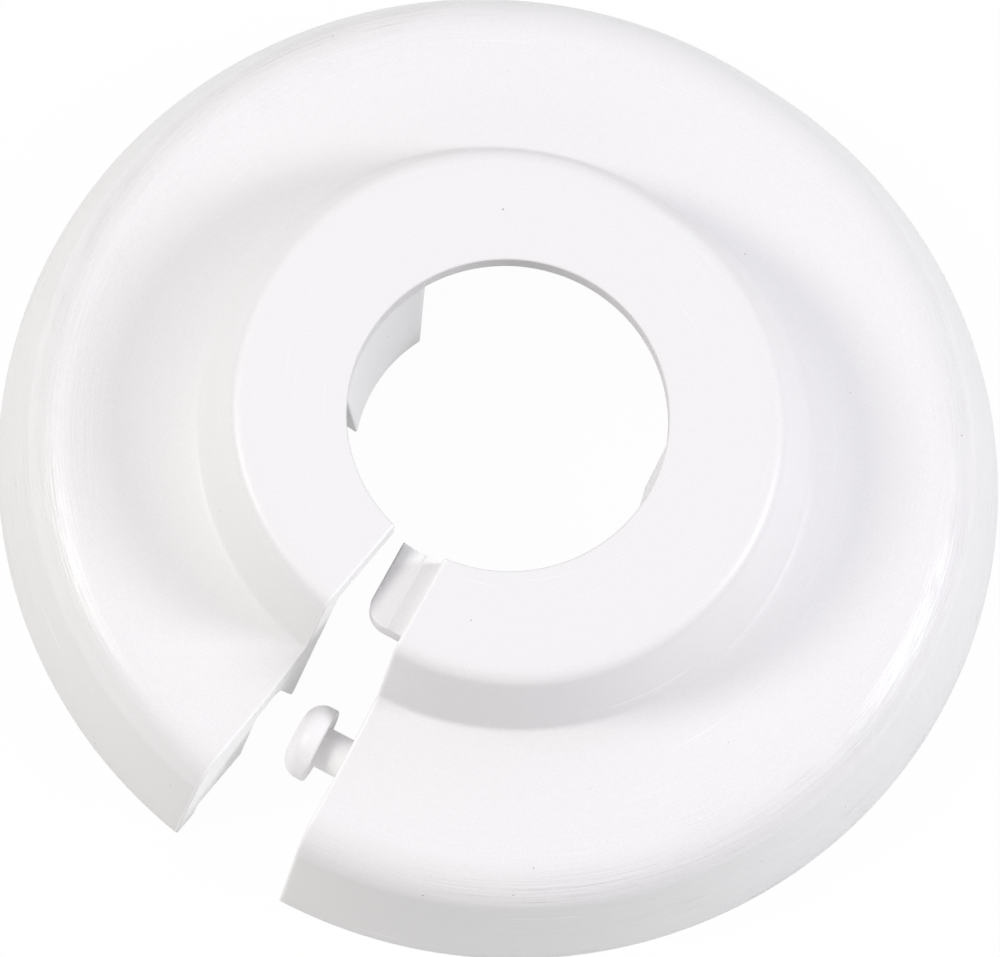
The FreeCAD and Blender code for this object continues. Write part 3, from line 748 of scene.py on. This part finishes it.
def white_plastic():
    """Satin white moulded plastic with the turned mould's marks, grain, scratches and specks,
    with painted shade on the band and painted light on the inner faces.
    """
    material, tree, output = new_material("white_plastic")
    shader = tree.nodes.new("ShaderNodeBsdfPrincipled")
    tree.links.new(shader.outputs["BSDF"], output.inputs["Surface"])
    place = tree.nodes.new("ShaderNodeTexCoord").outputs["Object"]
    split = tree.nodes.new("ShaderNodeSeparateXYZ")
    tree.links.new(place, split.inputs[0])
    x, y, z = split.outputs
    beside, ring = plan_rings(tree, x, y)
    inside = sheltered(tree, beside, ring, y, z)
    grain = field(tree, "ShaderNodeTexNoise", place, Scale=1 / GRAIN, Detail=1.0)[0]
    bump = tree.nodes.new("ShaderNodeBump")
    bump.inputs["Distance"].default_value = 1.0
    tree.links.new(relief(tree, place, x, y, z, ring, inside, grain), bump.inputs["Height"])
    tree.links.new(bump.outputs["Normal"], shader.inputs["Normal"])
    tree.links.new(dullness(tree, ring, inside), shader.inputs["Roughness"])
    tree.links.new(tint(tree, place, x, y, z, ring, inside, grain), shader.inputs["Base Color"])
    return material


def seen_as_background(tree):
    """1 for rays that show the background: camera, glossy and transmission rays."""
    path = tree.nodes.new("ShaderNodeLightPath")
    seen = maths(tree, "ADD", path.outputs["Is Camera Ray"], path.outputs["Is Glossy Ray"])
    seen = maths(tree, "ADD", seen, path.outputs["Is Transmission Ray"])
    return maths(tree, "MINIMUM", seen, 1.0)


def mixed(tree, share, first, second, output):
    """Mix of two shaders, linked to the output's surface."""
    mix = tree.nodes.new("ShaderNodeMixShader")
    tree.links.new(share, mix.inputs["Fac"])
    tree.links.new(first.outputs[0], mix.inputs[1])
    tree.links.new(second.outputs[0], mix.inputs[2])
    tree.links.new(mix.outputs[0], output.inputs["Surface"])


def lit(tree, kind, strength):
    """White shader of its own light, at a strength."""
    node = tree.nodes.new(kind)
    node.inputs["Color"].default_value = WHITE
    node.inputs["Strength"].default_value = strength
    return node


def floor():
    """Pale floor: matt white, with most of what the camera sees of it set to paper white."""
    material, tree, output = new_material("white_floor")
    matt = tree.nodes.new("ShaderNodeBsdfDiffuse")
    matt.inputs["Color"].default_value = FLOOR_WHITE
    paper = lit(tree, "ShaderNodeEmission", 1.0)
    mixed(tree, product(tree, seen_as_background(tree), PAPER_SHARE), matt, paper, output)
    corners = FLOOR_HALF * np.array([(-1, -1, 0), (1, -1, 0), (1, 1, 0), (-1, 1, 0)])
    mesh = bpy.data.meshes.new("floor")
    mesh.from_pydata(corners, [], [(0, 1, 2, 3)])
    mesh.materials.append(material)
    made = bpy.data.objects.new("floor", mesh)
    bpy.context.scene.collection.objects.link(made)


def room():
    """Even soft light from all round; the camera sees plain white where the floor ends."""
    world = bpy.data.worlds.new("room")
    world.use_nodes = True
    tree = world.node_tree
    tree.nodes.clear()
    output = tree.nodes.new("ShaderNodeOutputWorld")
    soft = lit(tree, "ShaderNodeBackground", ROOM_LIGHT)
    paper = lit(tree, "ShaderNodeBackground", 1.0)
    mixed(tree, seen_as_background(tree), soft, paper, output)
    bpy.context.scene.world = world


def view_axes():
    """Right, up and back of the picture as directions in space."""
    beside = Vector((math.cos(VIEW_TURN), math.sin(VIEW_TURN), 0))
    ahead = Vector((-math.sin(VIEW_TURN), math.cos(VIEW_TURN), 0))
    height = Vector((0, 0, 1))
    back = height * math.cos(VIEW_TILT) - ahead * math.sin(VIEW_TILT)
    rise = ahead * math.cos(VIEW_TILT) + height * math.sin(VIEW_TILT)
    right = beside * math.cos(VIEW_ROLL) + rise * math.sin(VIEW_ROLL)
    up = rise * math.cos(VIEW_ROLL) - beside * math.sin(VIEW_ROLL)
    return right, up, back


def place_facing(name, data, axes, location):
    """Object whose own axes are the given ones, at a place."""
    made = bpy.data.objects.new(name, data)
    made.matrix_world = Matrix(axes).transposed().to_4x4()
    made.location = location
    bpy.context.scene.collection.objects.link(made)
    return made


def camera():
    """Long-lens camera whose frame is the photograph's width at the base ring."""
    right, up, back = view_axes()
    distance = VIEW_WIDTH * LENS / SENSOR
    lens = bpy.data.cameras.new("camera")
    lens.lens = LENS
    lens.sensor_width = SENSOR
    lens.sensor_fit = "HORIZONTAL"
    lens.clip_start = NEAREST
    lens.clip_end = FARTHEST_SHARE * distance
    location = right * VIEW_OFF_RIGHT + up * VIEW_OFF_UP + back * distance
    bpy.context.scene.camera = place_facing("camera", lens, (right, up, back), location)


def softbox(name, bearing, elevation, power, colour):
    """Soft square lamp that looks at the collar.
    Its bearing is counted in the picture, 0 up and 90 right."""
    up = view_axes()[1]
    over = Vector((up.x, up.y, 0)).normalized()
    beside = over.cross(Vector((0, 0, 1)))
    turn, rise = math.radians(bearing), math.radians(elevation)
    around = over * math.cos(turn) + beside * math.sin(turn)
    away = around * math.cos(rise) + Vector((0, 0, math.sin(rise)))
    across = beside * math.cos(turn) - over * math.sin(turn)
    light = bpy.data.lights.new(name, "AREA")
    light.shape = "SQUARE"
    light.size = SOFTBOX_SIZE
    light.energy = power
    light.color = colour
    made = place_facing(name, light, (across, away.cross(across), away), away * LAMP_DISTANCE)
    made.visible_camera = False


bpy.context.scene.view_settings.view_transform = "Standard"

collar = piece(
    "collar",
    [shell(), lug(RIGHT), lug(LEFT), tongue(), web(LEFT, notch()), web(RIGHT, plain_sill()), stud()],
    white_plastic(),
)
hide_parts("pipe_collar")
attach(collar, "root")

floor()
room()
for settings in SOFTBOXES:
    softbox(*settings)
camera()
